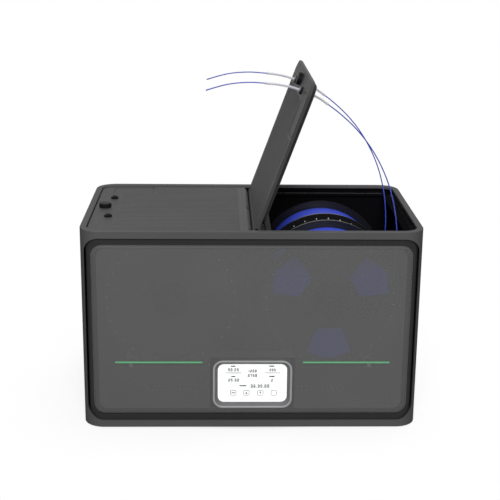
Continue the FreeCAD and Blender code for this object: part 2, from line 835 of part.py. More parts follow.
def make_lid_plugs(side):
    body = new_body(f"{side}_lid_plugs")
    for radius, length, reverse in (("plug_radius", "plug_high", False),
                                    ("tube_radius", "barrel_radius", True)):
        outline = sketch_on(body, "XY", "barrel_radius + fitting_high")
        for y in ("fitting_y", "-fitting_y"):
            circle(outline, radius, "fitting_reach", y)
        pad(body, outline, length, reverse=reverse)
    place_on_lid(body, side)


def make_vent_knob(side):
    body = new_body(f"{side}_vent_knob")
    cap = sketch_on(body, "XY", "barrel_radius + knob_gap")
    circle(cap, "knob_radius", "knob_reach", "0")
    pad(body, cap, "knob_high")
    top = size("barrel_radius + knob_gap + knob_high")
    round_edges(body, "lid_edge", lambda box: flat_at(box, "Z", top))
    notch = sketch_on(body, "XY", "barrel_radius + knob_gap + knob_high")
    rectangle(notch, "knob_radius", "knob_notch", "knob_reach + knob_radius / 2", "0")
    pocket(body, notch, "knob_notch / 2")
    stem = sketch_on(body, "XY", "barrel_radius + knob_gap")
    circle(stem, "knob_stem", "knob_reach", "0")
    pad(body, stem, f"barrel_radius + knob_gap - ({LID_BOTTOM}) + knob_gap", reverse=True)
    foot = sketch_on(body, "XY", f"{LID_BOTTOM} - knob_gap")
    circle(foot, "knob_foot", "knob_reach", "0")
    pad(body, foot, "knob_foot_thick", reverse=True)
    place_on_lid(body, side)


def spool_place(side, row):
    return f"{side_sign(side)} * spool_x", f"spool_{row}_y", "spool_z"


def make_reel(side, row):
    """A reel with three sight windows in each flange, its own axis along Y."""
    body = new_body(f"{side}_{row}_reel")
    half = "spool_width / 2"
    profile = sketch_on(body, "XY", "0")
    polygon(profile, [("hub_bore", f"-{half}"), ("spool_radius", f"-{half}"),
                      ("spool_radius", f"-{half} + flange_thick"),
                      ("hub_radius", f"-{half} + flange_thick"),
                      ("hub_radius", f"{half} - flange_thick"),
                      ("spool_radius", f"{half} - flange_thick"),
                      ("spool_radius", half), ("hub_bore", half)])
    revolve(body, profile, "V_Axis")
    window = sketch_on(body, "XZ", f"-{half}")
    near, far = "(sight_turn - sight_angle / 2)", "(sight_turn + sight_angle / 2)"
    corners = [("sight_inner", near), ("sight_outer", near), ("sight_tip", "sight_turn"),
               ("sight_outer", far), ("sight_inner", far)]
    polygon(window, [(f"{reach} * cos({turn} * 1 deg)", f"{reach} * sin({turn} * 1 deg)")
                     for reach, turn in corners])
    cut = pocket(body, window, "spool_width")
    ring_of(body, cut, "Y_Axis", "3")
    place(body, *spool_place(side, row))


def make_winding(side, row):
    core = new_body(f"{side}_{row}_winding_core")
    outline = sketch_on(core, "XZ", "0")
    circle(outline, "winding_radius - filament")
    circle(outline, "hub_radius")
    pad(core, outline, "spool_width - 2 * flange_thick - fit_gap", both=True)
    place(core, *spool_place(side, row))

    layer = new_body(f"{side}_{row}_winding_turns")
    outline = sketch_on(layer, "XZ", "0")
    circle(outline, "winding_radius")
    circle(outline, "winding_radius - filament + fit_gap")
    pad(layer, outline, "spool_width - 2 * flange_thick - 2 * winding_margin", both=True)
    place(layer, *spool_place(side, row))


def pipe(path, start, way, radius):
    ring = Part.Wire(Part.makeCircle(radius, start, way))
    return path.makePipeShell([ring], True, False)


def roller_places(side):
    """The two rollers under a spool, left and right of it, in X and Z."""
    swing = "(spool_radius + roller_radius + roller_gap)"
    z = f"spool_z - {swing} * cos(roller_angle * 1 deg)"
    return [(name, f"{side_sign(side)} * spool_x + {sign} * {swing} * sin(roller_angle * 1 deg)", z)
            for name, sign in (("a", "-1"), ("b", "1"))]


def make_rollers():
    brackets = new_body("roller_brackets")
    feet = sketch_on(brackets, "XZ", "bracket_front - bracket_thick / 2")
    heads = sketch_on(brackets, "XZ", "bracket_front - bracket_thick / 2")
    bores = sketch_on(brackets, "XZ", "bracket_front - bracket_thick / 2")
    axles = new_body("roller_axles")
    rods = sketch_on(axles, "XZ", "axle_front")
    for side in ("left", "right"):
        for _, x, z in roller_places(side):
            polygon(feet, [(f"{x} - bracket_half", "floor_top"), (f"{x} + bracket_half", "floor_top"),
                           (f"{x} + bracket_head", z), (f"{x} - bracket_head", z)])
            circle(heads, "bracket_head", x, z)
            circle(bores, "axle_radius + running_gap", x, z)
            circle(rods, "axle_radius", x, z)
    foot = pad(brackets, feet, "bracket_thick", reverse=True)
    head = pad(brackets, heads, "bracket_thick", reverse=True)
    pattern = row_of(brackets, foot, "Y_Axis", "bracket_span", 3)
    pattern.Originals = [foot, head]
    doc.recompute()
    pocket(brackets, bores, "bracket_span + bracket_thick")
    pad(axles, rods, "axle_back - axle_front", reverse=True)
    for side, row in SPOOLS:
        for name, x, z in roller_places(side):
            make_roller(f"{side}_{row}_roller_{name}", x, f"roller_{row}_y", z)


def make_roller(label, x, y, z):
    body = new_body(label)
    half = "roller_length / 2"
    profile = sketch_on(body, "XY", "0")
    bore = "axle_radius + running_gap"
    polygon(profile, [(bore, f"-{half}"), ("roller_radius", f"-{half}"),
                      ("roller_radius", f"-{half} + roller_rim"),
                      ("roller_waist", f"-{half} + roller_rim + roller_taper"),
                      ("roller_waist", f"{half} - roller_rim - roller_taper"),
                      ("roller_radius", f"{half} - roller_rim"),
                      ("roller_radius", half), (bore, half)])
    revolve(body, profile, "V_Axis")
    place(body, x, y, z)


def make_fans():
    frames = new_body("fan_frames")
    outline = sketch_on(frames, "XY", "fan_bottom")
    bores = sketch_on(frames, "XY", "fan_bottom")
    struts = sketch_on(frames, "XY", "fan_bottom")
    seats = sketch_on(frames, "XY", "fan_bottom")
    for side in ("left", "right"):
        x = f"{side_sign(side)} * spool_x"
        rounded_rectangle(outline, "fan_size", "fan_size", "fan_strut", x, "fan_y")
        circle(bores, "fan_bore", x, "fan_y")
        rectangle(struts, "fan_size - fan_strut_thick", "fan_strut", x, "fan_y")
        circle(seats, "impeller_hub", x, "fan_y")
    pad(frames, outline, "fan_height")
    pocket(frames, bores, "fan_height", reverse=True)
    pad(frames, struts, "fan_strut_thick")
    pad(frames, seats, "fan_strut_thick")

    heaters = new_body("ptc_heaters")
    blocks = sketch_on(heaters, "XY", "fan_bottom + fan_height")
    for side in ("left", "right"):
        x = f"{side_sign(side)} * spool_x"
        rectangle(blocks, "fan_size", "fan_size", x, "fan_y")
        slots(blocks, "vent_width", "vent_length", "vent_pitch", x, "fan_y")
    pad(heaters, blocks, "heater_thick")
    for side in ("left", "right"):
        make_impeller(side)


def make_impeller(side):
    body = new_body(f"{side}_fan_impeller")
    hub = sketch_on(body, "XY", "0")
    circle(hub, "impeller_hub")
    pad(body, hub, "impeller_height")
    section = sketch_on(body, "YZ", "impeller_hub - blade_thick")
    low, high = "blade_thick / 2", "impeller_height - blade_thick / 2"
    polygon(section, [("-blade_lean", low), ("-blade_lean + blade_thick", low),
                      ("blade_lean", high), ("blade_lean - blade_thick", high)])
    blade = pad(body, section, "impeller_radius - impeller_hub + blade_thick")
    ring_of(body, blade, "Z_Axis", "blade_count")
    place(body, f"{side_sign(side)} * spool_x", "fan_y", "impeller_bottom")


def make_power():
    supply = new_body("power_supply")
    outline = sketch_on(supply, "XY", BASE_TOP)
    rectangle(outline, "supply_width", "supply_depth", "0", "supply_y")
    pad(supply, outline, "supply_height")
    grooves = sketch_on(supply, "XY", f"{BASE_TOP} + supply_height")
    slots(grooves, "supply_slot", "supply_depth - 2 * supply_border", "vent_pitch", "0", "supply_y")
    pocket(supply, grooves, "supply_slot")

    sensor = new_body("humidity_sensor")
    outline = sketch_on(sensor, "XZ", "tub_back - tub_wall")
    rectangle(outline, "sensor_width", "sensor_height", "sensor_x", "sensor_z")
    pad(sensor, outline, "sensor_depth")
    windows = sketch_on(sensor, "XZ", "tub_back - tub_wall - sensor_depth")
    for step in (-1, 0, 1):
        rectangle(windows, "sensor_width / 2", "blade_pin_thick", "sensor_x",
                  f"sensor_z + {step} * sensor_pitch")
    pocket(sensor, windows, "blade_pin_thick")

    inlet = new_body("power_inlet")
    outline = sketch_on(inlet, "XZ", "case_depth / 2")
    rounded_rectangle(outline, "inlet_width", "inlet_height", "blade_pin_thick", "inlet_x", "inlet_z")
    pad(inlet, outline, "inlet_depth")
    well = sketch_on(inlet, "XZ", "case_depth / 2")
    rectangle(well, "rocker_well_width", "rocker_well_height", "inlet_x", "inlet_z + rocker_rise")
    pocket(inlet, well, "rocker_well_depth", reverse=True)
    socket = sketch_on(inlet, "XZ", "case_depth / 2")
    rectangle(socket, "socket_width", "socket_height", "inlet_x", "inlet_z - socket_drop")
    pocket(inlet, socket, "socket_depth", reverse=True)
    pins = sketch_on(inlet, "XZ", "case_depth / 2 - socket_depth")
    for step, rise in ((-1, "-blade_pin_drop"), (0, "blade_pin_rise"), (1, "-blade_pin_drop")):
        rectangle(pins, "blade_pin_thick", "blade_pin_width", f"inlet_x + {step} * blade_pin_pitch",
                  f"inlet_z - socket_drop + ({rise})")
    pad(inlet, pins, "socket_depth - blade_pin_sink", reverse=True)
    make_rocker()


def make_rocker():
    """A rocker whose two cheeks meet at a crest, turning on X, at rest with its lower cheek out."""
    body = new_body("power_rocker")
    section = sketch_on(body, "YZ", "-rocker_width / 2")
    polygon(section, [("-rocker_root", "-rocker_half + rocker_draft"), ("rocker_cheek", "-rocker_half"),
                      ("rocker_crest", "0"), ("rocker_cheek", "rocker_half"),
                      ("-rocker_root", "rocker_half - rocker_draft")])
    pad(body, section, "rocker_width")
    pin = sketch_on(body, "YZ", "0")
    circle(pin, "rocker_pin")
    pad(body, pin, "rocker_well_width - 2 * fit_gap", both=True)
    place(body, "inlet_x", "case_depth / 2 - rocker_pivot_sink", "inlet_z + rocker_rise",
          FreeCAD.Rotation(Vector(1, 0, 0), size("rocker_tilt")))


# Route of a filament strand, from its winding to its cut end, in X and Z.
# The stretch from the spool up to the tube, the stretch in the tube, and the free end past it.
# STRANDS has the depth in the box, in Y, of each strand at its winding and at its tube.
LEAD_ROUTE = [(205.5, 212), (208.8, 252), (206.4, 290), (198.6, 328), (185.6, 361), (168, 391),
              (146.6, 417), (123, 438)]
TUBE_ROUTE = [(106.4, 449.9), (90.35, 461.31), (54.17, 474.47), (35, 477.9), (16.5, 479.3)]
END_ROUTE = [(16.5, 479.3), (-1, 480.62), (-25, 479.2), (-45.5, 475), (-64.5, 468.8)]
STRANDS = {"front": (-85, -55), "rear": (33, 55)}


def strand_points(row, route, lead=False):
    """Points of a strand's stretch, which drifts across from its winding to its tube."""
    start, end = STRANDS[row]
    if not lead:
        return [Vector(x, end, z) for x, z in route]
    low, high = size("spool_z"), TUBE_ROUTE[0][1]
    points = []
    for x, z in route:
        share = (z - low) / (high - low)
        ease = share * share * (3 - 2 * share)
        points.append(Vector(x, start + (end - start) * ease, z))
    return points


def route_edges(points, name):
    """Straight runs joined by tangent arcs, each as large as its two runs allow."""
    edges = []
    here = points[0]
    radii = []
    for before, corner, after in zip(points, points[1:], points[2:]):
        way_in = (corner - before).normalize()
        way_out = (after - corner).normalize()
        turn = way_in.getAngle(way_out)
        shorter = min(corner.distanceToPoint(before), after.distanceToPoint(corner))
        cut = 0.45 * shorter
        radii.append(cut / math.tan(turn / 2))
        arc_start, arc_end = corner - way_in * cut, corner + way_out * cut
        sag = radii[-1] / math.cos(turn / 2) - radii[-1]
        middle = corner + (way_out - way_in).normalize() * sag
        edges.append(Part.LineSegment(here, arc_start).toShape())
        edges.append(Part.Arc(arc_start, middle, arc_end).toShape())
        here = arc_end
    edges.append(Part.LineSegment(here, points[-1]).toShape())
    print(name, "bend radii", [round(radius) for radius in radii])
    return edges


def swept(edges, radius, name):
    """A round rod along joined edges, whose volume is its section times its length."""
    path = Part.Wire(Part.__sortEdges__(edges))
    start = edges[0].valueAt(edges[0].FirstParameter)
    rod = pipe(path, start, edges[0].tangentAt(edges[0].FirstParameter), radius)
    share = rod.Volume / (math.pi * radius ** 2 * path.Length)
    print(f"{name} length {path.Length:.1f} mm, volume share {share:.3f}")
    return rod


def add_shape(label, shapes):
    feature = doc.addObject("Part::Feature", label)
    feature.Label = label
    feature.Shape = Part.Compound(shapes)
    feature.Placement = FreeCAD.Placement()
    pieces.append(feature)


def make_strands():
    radius = size("filament") / 2
    leads, tubes, ends = [], [], []
    for row in STRANDS:
        spool = Vector(*(size(word) for word in spool_place("right", row)))
        begin = spool + Vector(size("winding_radius + filament / 2 + lead_gap"),
                               -size("spool_width / 2 - flange_thick - winding_margin"), 0)
        lead = [begin] + strand_points(row, LEAD_ROUTE, lead=True)
        lead.append(strand_points(row, TUBE_ROUTE)[0])
        inside = route_edges(strand_points(row, TUBE_ROUTE), f"{row} tube")
        beyond = route_edges(strand_points(row, END_ROUTE), f"{row} end")
        leads.append(swept(route_edges(lead, f"{row} lead"), radius, f"{row} lead"))
        ends.append(swept(inside + beyond, radius, f"{row} tube and end"))
        outer = swept(inside, size("tube_radius"), f"{row} tube")
        tubes.append(outer.cut(swept(inside, size("tube_bore"), f"{row} tube bore")))
    add_shape("filament_leads", leads)
    add_shape("filament_ends", ends)
    add_shape("feed_tubes", tubes)


def check_and_export():
    doc.recompute()
    for item in doc.Objects:
        if "Invalid" in item.State or "Error" in item.State:
            raise RuntimeError(f"{item.Name} failed: {item.State}")
    for piece in pieces:
        if piece.Shape.isNull() or not piece.Shape.isValid() or not piece.Shape.Solids:
            raise RuntimeError(f"{piece.Label} has no valid solid")
    os.makedirs("parts", exist_ok=True)
    for piece in pieces:
        piece.Shape.exportStep(f"parts/{piece.Label}.step")
    print(len(pieces), "nodes written")


make_outer_case()
make_front_frame()
make_front_window()
make_light_bars()
make_display()
make_inner_tub()
make_base()
make_centre()
for lid_side in ("left", "right"):
    make_lid_cover(lid_side)
    make_lid_inside(lid_side)
    make_lid_fittings(lid_side)
    make_vent_knob(lid_side)
make_lid_plugs("left")
for spool_side, spool_row in SPOOLS:
    make_reel(spool_side, spool_row)
    make_winding(spool_side, spool_row)
make_rollers()
make_fans()
make_power()
make_strands()
check_and_export()
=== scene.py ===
"""Looks of the filament dryer box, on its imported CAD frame. Lengths are in millimetres unless noted."""
import math
from functools import partial

import bpy
from mathutils import Matrix, Vector


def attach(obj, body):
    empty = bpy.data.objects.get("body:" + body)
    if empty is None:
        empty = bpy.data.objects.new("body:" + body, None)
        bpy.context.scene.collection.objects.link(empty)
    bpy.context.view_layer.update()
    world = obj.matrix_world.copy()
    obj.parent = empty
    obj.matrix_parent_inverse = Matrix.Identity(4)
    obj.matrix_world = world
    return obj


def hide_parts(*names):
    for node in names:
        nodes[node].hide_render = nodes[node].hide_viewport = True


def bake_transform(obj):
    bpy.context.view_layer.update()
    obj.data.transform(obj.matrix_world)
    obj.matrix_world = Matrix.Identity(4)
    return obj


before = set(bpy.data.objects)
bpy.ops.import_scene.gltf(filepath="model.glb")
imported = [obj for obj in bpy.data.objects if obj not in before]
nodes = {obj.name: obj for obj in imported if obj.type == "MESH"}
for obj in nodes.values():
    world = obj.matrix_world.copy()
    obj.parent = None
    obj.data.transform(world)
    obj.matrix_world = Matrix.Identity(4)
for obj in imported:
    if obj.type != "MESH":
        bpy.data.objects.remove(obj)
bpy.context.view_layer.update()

MM = 0.001
SIDES = {"left": -1, "right": 1}
ROWS = {"front": -50.0, "rear": 68.0}
CORNER_STEPS = 8

# camera, fitted to the photograph: angles in radians, clipping distances in metres
CAMERA_SPOT = (-47.364, -1649.462, 700.462)
CAMERA_YAW, CAMERA_PITCH, CAMERA_ROLL = 0.0292, 0.282, 0.0111
CAMERA_LENS, CAMERA_SENSOR = 82.775, 36
CAMERA_CLIP = (0.05, 100)

# lids, in their own frame: X from the hinge to the free end, Z out of the top
PIVOT_X, PIVOT_Z, OPEN_ANGLE = 7.0, 282.0, math.radians(70)
LID_TOP = 5.5
TRIM_ROOT = 0.1
RIB_PITCH, RIB_WIDTH, RIB_HEIGHT = 7.5, 3.4, 0.4
RIB_EDGE = RIB_HEIGHT * 0.8
RIB_COUNT = 33
RIB_NEAR, RIB_FAR, RIB_FAR_AT_PLATE = 10.5, 187.0, 136.0
PLATE_X, PLATE_Y, PLATE_SIZE, PLATE_SINK = 171.0, -107.5, (60.0, 38.0), 0.8
PLATE_ROOT, PLATE_BELOW_TOP, PLATE_EDGE, PLATE_MARGIN = 0.05, 0.25, 0.3, 3
FITTING_X, FITTING_Y, FITTING_TOP = 197.0, 55.0, 8.5
COLLET_PROFILE = ((2.1, -0.1), (4.2, -0.1), (4.4, 0.9), (3.9, 1.6), (2.6, 1.6), (2.1, 1.0))
COLLET_SIDES = 28
KNOB_X, KNOB_RADIUS, KNOB_TOP = 206.0, 8.5, 12.2
GRIP_COUNT, GRIP_ROOT, GRIP_REACH, GRIP_WIDTH, GRIP_EDGE = 24, 0.3, 0.5, 0.9, 0.2
GRIP_LOW, GRIP_HIGH = LID_TOP + 1.2, KNOB_TOP - 1.4

# spools
SPOOL_X, SPOOL_Z = 114.0, 173.0
FILAMENT = 1.75
WINDING_SLOT = {"left": "filament_dark", "right": "filament_blue"}
WINDING_RADIUS = 90.3 - FILAMENT / 2
WINDING_END = -35.5
WINDING_TURNS = 40
POINTS_PER_TURN = 16
SWAY, SWAY_PERIOD = 0.25, 7.3
SINK, LUMP, LUMP_PERIOD = 0.35, 0.3, 11.7
HUB_RADIUS = 38.3
CORE_RIDGES, CORE_SIDES, CORE_HALF = 27, 96, 37.3
RIDGE_DEPTH, RIDGE_SLOPE = 0.7, 0.25
FLANGE_OUTSIDE = -41.0
TICK_COUNT, TICK_INNER, TICK_OUTER, TICK_WIDTH = 32, 90.6, 92.8, 1.3
TICK_ROOT, TICK_HEIGHT, TICK_EDGE, TICK_SHIFT = 0.05, 0.12, 0.03, 0.3

# strands of filament: route from winding to cut end in X and Z, depth they drift across, length in metres
LEAD_START = (205.2, 173.0)
LEAD_ROUTE = [(205.5, 212), (208.8, 252), (206.4, 290), (198.6, 328), (185.6, 361), (168, 391),
              (146.6, 417), (123, 438)]
TUBE_ROUTE = [(106.4, 449.9), (90.35, 461.31), (54.17, 474.47), (35, 477.9), (16.5, 479.3)]
END_ROUTE = [(-1, 480.62), (-25, 479.2), (-45.5, 475), (-64.5, 468.8)]
STRANDS = {"front": (-85.0, -55.0), "rear": (33.0, 55.0)}
STRAND_SIDES = 10
TUBE_RADIUS, TUBE_BORE, TUBE_SIDES = 2.0, 1.0, 20
TUBE_SPAN = {"front": (106.4, 16.5), "rear": (112.5, 22.5)}
# where a strand's bend between case and lid would start and end, from its foot and from its tube's lower end;
# the script works these points out but makes no bend
BEND_START, BEND_END = (88.0, 0.0, 178.0), (-10.5, 0.0, 12.0)

# hinge cover over each lid's barrel: arcs about its pivot, in degrees from the free end, and their spans
COVER_INNER, COVER_OUTER, COVER_HALF, LUG_NEAR, LUG_HALF = 5.6, 6.2, 131.0, 120.0, 6.0
COVER_START, COVER_AT_LUGS, COVER_END = 62, 110, {"left": 176, "right": 118}
COVER_STEPS = 12
COVER_TOE_X, COVER_TOE_HEIGHT = 9.5, 0.3

# lining of the bays' back and side walls under the rim
LINING_X, LINING_BACK, LINING_FRONT, LINING_RADIUS = 234.2, 141.7, -110.0, 26.7
LINING_BOTTOM, LINING_TOP, LINING_THICK, LINING_EDGE = 277.4, 285.9, 1.0, 0.3

# display: its rim's profile as inset and rise
BEZEL_HALF, BEZEL_RADIUS, BEZEL_FRONT = (56.0, 36.0), 14.0, -144.6
BEZEL_RIM = ((0.1, -0.3), (0.1, 0.1), (0.6, 0.35), (2.4, 0.35), (3.0, 0.0), (3.0, -0.4))
SCREEN_FRONT = -138.2
SCREEN_X, SCREEN_Z = 2.2, 66.6

# what the display shows, from its middle: numbers by lower left corner and height, bars by ends and foot
INK_LOW, INK_HIGH, INK_EDGE = 0.005, 0.05, 0.005
NUMBERS = (("50.25", -34.4, 17.6, 4.4), ("25.50", -34, 2.0, 4.4), ("1200", -6.8, 15.9, 4.2),
           ("0750", -6.4, 8.9, 4.2), ("205", 24, 17.5, 4.0), ("2", 26.6, 1.8, 4.2),
           ("06.30.00", -2.2, -7.4, 4.8))
BARS = ((-30.7, -24.2, 24.4), (23.8, 30.5, 24.4), (-29.8, -24.2, 8.9), (23.8, 31.4, 8.9), (-18.2, -8.3, -5.2))
BAR_HEIGHT = 1.5
LINES = ((-38.4, -16.0, 14.7), (17.6, 39.1, 14.7))
LINE_HEIGHT = 0.8
KEY_X, KEY_Y = (-27.0, -8.3, 11.6, 30.5), -15.2
KEY_INNER, KEY_OUTER, KEY_CORNER = 3.4, 4.2, 3.3
KEY_ARROW, KEY_DASH = 1.5, (2.2, 0.6)

# seven-segment digits: width and stroke as shares of the height, step by widths, and a point's by strokes
SEGMENTS = {"0": "abcdef", "1": "bc", "2": "abged", "3": "abgcd", "4": "fgbc", "5": "afgcd", "6": "afgedc",
            "7": "abc", "8": "abcdefg", "9": "abcdfg"}
DIGIT_WIDTH, DIGIT_STROKE, DIGIT_STEP, DOT_STEP = 0.55, 0.19, 1.5, 2

# floor, in metres: share of even white by distance from the middle, on ellipses round the case's footprint
FLOOR_REACH = 30
FLOOR_STRETCH = 1.64
FLOOR_WHITE = ((0.18, 0.0), (0.25, 0.8), (0.6, 1.0))
FLOOR_SEEN, FLOOR_BOUNCE = 0.95, 0.14

# light: lamps by place and width in metres and power in watts, and the sky as it lights and as it is seen
LAMPS = (("key", (-0.1, -4.1, 3.0), 2.4, 252), ("top", (0.3, 0.6, 3.2), 1.8, 50))
LAMP_TARGET = (0, 0, 0.2)
SKY_LIGHT, SKY_SEEN = 0.15, 1.0

# the middle range of a noise texture, spread over a whole change of colour or gloss
NOISE_LOW, NOISE_HIGH = 0.3, 0.7
GLOSS_CHANGE = 0.15


def millimetres(point):
    return Vector(point) * MM


def lid_point(side, x, y, z):
    """A point of a lid's own frame, in the row frame."""
    if side == "left":
        return millimetres((-PIVOT_X - x, -y, PIVOT_Z + z))
    cos, sin = math.cos(OPEN_ANGLE), math.sin(OPEN_ANGLE)
    return millimetres((PIVOT_X + x * cos - z * sin, y, PIVOT_Z + x * sin + z * cos))


def spool_centre(side, row):
    return Vector((SIDES[side] * SPOOL_X, ROWS[row], SPOOL_Z))


class Parts:
    """Vertices and faces of several small solids that make one piece."""

    def __init__(self):
        self.vertices, self.faces = [], []

    def ring_stack(self, rings, closed=True):
        """Join rings of equal length, one after the other, and cap both ends."""
        first = len(self.vertices)
        count = len(rings[0])
        for ring in rings:
            self.vertices += list(ring)
        for level in range(len(rings) - 1):
            for i in range(count):
                a, b = first + level * count + i, first + level * count + (i + 1) % count
                self.faces.append((a, b, b + count, a + count))
        if closed:
            self.faces.append(tuple(first + i for i in reversed(range(count))))
            last = first + (len(rings) - 1) * count
            self.faces.append(tuple(last + i for i in range(count)))

    def bar(self, place, low, high, bottom, top, edge):
        """A low bar with sloped edges over a rectangle; place maps its own frame to the row's."""
        (x0, y0), (x1, y1) = low, high
        rings = []
        for inset, z in ((0, bottom), (0, top - edge), (edge, top)):
            rings.append([place(x, y, z) for x, y in ((x0 + inset, y0 + inset), (x1 - inset, y0 + inset),
                                                      (x1 - inset, y1 - inset), (x0 + inset, y1 - inset))])
        self.ring_stack(rings)

    def turned(self, place, profile, sides, x=0.0, y=0.0):
        """A profile of (radius, height) turned about an upright axis, closed on itself."""
        first = len(self.vertices)
        count = len(profile)
        for i in range(sides):
            angle = 2 * math.pi * i / sides
            for radius, z in profile:
                self.vertices.append(place(x + radius * math.cos(angle), y + radius * math.sin(angle), z))
        for i in range(sides):
            here, after = first + i * count, first + (i + 1) % sides * count
            for j in range(count):
                k = (j + 1) % count
                self.faces.append((here + j, after + j, after + k, here + k))


def add_mesh(name, mesh, material, body=None, slot=None, smooth=False):
    """A mesh as a piece of the scene, with its material and the body it rides on; its slot argument is not
    used.
    """
    mesh.materials.clear()
    mesh.materials.append(material)
    if smooth:
        mesh.polygons.foreach_set("use_smooth", [True] * len(mesh.polygons))
    piece = bpy.data.objects.new(name, mesh)
    bpy.context.collection.objects.link(piece)
    if body:
        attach(piece, body)
    return piece


def add_piece(name, parts, material, body=None, slot=None, smooth=False):
    mesh = bpy.data.meshes.new(name)
    mesh.from_pydata([tuple(v) for v in parts.vertices], [], parts.faces)
    mesh.validate()
    mesh.update()
    return add_mesh(name, mesh, material, body, slot, smooth)


def node_material(name, roughness, **sockets):
    material = bpy.data.materials.new(name)
    material.use_nodes = True
    shader = material.node_tree.nodes["Principled BSDF"]
    shader.inputs["Roughness"].default_value = roughness
    for socket, value in sockets.items():
        shader.inputs[socket.replace("_", " ")].default_value = value
    return material, material.node_tree, shader


def noise(tree, scale, detail, stretch=(1, 1, 1)):
    place = tree.nodes.new("ShaderNodeTexCoord")
    mapping = tree.nodes.new("ShaderNodeMapping")
    mapping.inputs["Scale"].default_value = stretch
    texture = tree.nodes.new("ShaderNodeTexNoise")
    texture.inputs["Scale"].default_value = scale
    texture.inputs["Detail"].default_value = detail
    tree.links.new(place.outputs["Object"], mapping.inputs["Vector"])
    tree.links.new(mapping.outputs["Vector"], texture.inputs["Vector"])
    return texture.outputs["Fac"]


def ramp(tree, source, low, high):
    """Colours from low to high, by a noise."""
    stops = tree.nodes.new("ShaderNodeValToRGB")
    for stop, position, colour in zip(stops.color_ramp.elements, (NOISE_LOW, NOISE_HIGH), (low, high)):
        stop.position = position
        stop.color = (*colour, 1)
    tree.links.new(source, stops.inputs["Fac"])
    return stops.outputs["Color"]


def spread(tree, source, low, high):
    """Values from low to high, by a noise."""
    span = tree.nodes.new("ShaderNodeMapRange")
    span.inputs["From Min"].default_value = NOISE_LOW
    span.inputs["From Max"].default_value = NOISE_HIGH
    span.inputs["To Min"].default_value = low
    span.inputs["To Max"].default_value = high
    tree.links.new(source, span.inputs["Value"])
    return span.outputs["Result"]


def bump(tree, source, shader, strength, distance):
    node = tree.nodes.new("ShaderNodeBump")
    node.inputs["Strength"].default_value = strength
    node.inputs["Distance"].default_value = distance
    tree.links.new(source, node.inputs["Height"])
    tree.links.new(node.outputs["Normal"], shader.inputs["Normal"])


def moulded(name, colour, roughness=0.45, change=0.06, grain=1400, depth=0.00006, strength=0.25,
            stretch=(1, 1, 1), **sockets):
    """Moulded plastic: a fine grain, its depth in metres, and slow changes in colour and gloss."""
    material, tree, shader = node_material(name, roughness, **sockets)
    slow = noise(tree, scale=9, detail=4)
    low = [c * (1 - change) for c in colour]
    high = [min(1, c * (1 + change)) for c in colour]
    tree.links.new(ramp(tree, slow, low, high), shader.inputs["Base Color"])
    fine = noise(tree, grain, detail=2, stretch=stretch)
    gloss = spread(tree, fine, roughness * (1 - GLOSS_CHANGE), min(1, roughness * (1 + GLOSS_CHANGE)))
    tree.links.new(gloss, shader.inputs["Roughness"])
    bump(tree, fine, shader, strength, depth)
    return material


def glowing(name, colour, strength, change=0.03):
    """A lit surface, a little uneven."""
    material, tree, shader = node_material(name, roughness=0.4)
    shader.inputs["Emission Strength"].default_value = strength
    slow = noise(tree, scale=25, detail=2)
    low = [c * (1 - change) for c in colour]
    tinted = ramp(tree, slow, low, colour)
    tree.links.new(tinted, shader.inputs["Base Color"])
    tree.links.new(tinted, shader.inputs["Emission Color"])
    return material


def brushed(name, colour):
    """Metal with fine lines across it."""
    return moulded(name, colour, 0.3, change=0.08, grain=500, depth=0.00003, strength=0.3,
                   stretch=(1, 0.03, 1), Metallic=1.0)


def filament(name, colour, roughness, change, **sockets):
    """Drawn plastic, smoother than a moulding and less even in colour."""
    return moulded(name, colour, roughness, change, grain=900, depth=0.00002, **sockets)


case_plastic = moulded("case_plastic", (0.083, 0.083, 0.085), 0.75, Specular_IOR_Level=0.02)
lid_plastic = moulded("lid_plastic", (0.045, 0.045, 0.046), 0.55, Specular_IOR_Level=0.08)
rib_plastic = moulded("rib_plastic", (0.06, 0.06, 0.061), 0.55, Specular_IOR_Level=0.08)
trim_black = moulded("trim_black", (0.008, 0.008, 0.009), 0.5, Specular_IOR_Level=0.06)
groove_black = moulded("groove_black", (0.019, 0.019, 0.02), 0.5, Specular_IOR_Level=0.12)
tub_black = moulded("tub_black", (0.004, 0.004, 0.005), 0.6, Specular_IOR_Level=0.0)
pod_grey = moulded("pod_grey", (0.06, 0.06, 0.061), 0.6, Specular_IOR_Level=0.05)
window_smoke = moulded("window_smoke", (0.16, 0.16, 0.162), 0.5, change=0.03, strength=0.04, Alpha=0.5,
                       Specular_IOR_Level=0.15)
bezel_grey = moulded("bezel_grey", (0.125, 0.125, 0.128), 0.45, Specular_IOR_Level=0.2)
# A lighter copy of the bezel's grey: a painted highlight on the bezel's rounded outer edge.
bezel_painted_highlight = moulded("bezel_painted_highlight", (0.3, 0.3, 0.304), 0.4, Specular_IOR_Level=0.3)
plate_grey = moulded("plate_grey", (0.035, 0.035, 0.036), 0.6, Specular_IOR_Level=0.15)
rubber_black = moulded("rubber_black", (0.012, 0.012, 0.012), 0.8, grain=700, depth=0.0001,
                       Specular_IOR_Level=0.2)
reel_plastic = moulded("reel_plastic", (0.006, 0.006, 0.007), 0.3, Specular_IOR_Level=0.3)
roller_grey = moulded("roller_grey", (0.16, 0.16, 0.165), 0.4)
# A brighter copy of the strands' blue for the windings: painted light that makes up for the shade inside the
# bays.
filament_blue = filament("filament_blue", (0.042, 0.075, 0.62), 0.4, 0.1, Specular_IOR_Level=0.3)
strand_blue = filament("strand_blue", (0.03, 0.05, 0.38), 0.4, 0.1)
filament_dark = filament("filament_dark", (0.03, 0.03, 0.032), 0.45, 0.12, Specular_IOR_Level=0.2)
tube_clear = moulded("tube_clear", (0.72, 0.72, 0.74), 0.35, grain=300, depth=0.00003, Alpha=0.4)
board_green = moulded("board_green", (0.02, 0.12, 0.05), 0.4)
mark_white = moulded("mark_white", (0.5, 0.46, 0.47), 0.5)
ink_dark = moulded("ink_dark", (0.035, 0.035, 0.04), 0.6, Specular_IOR_Level=0.1)
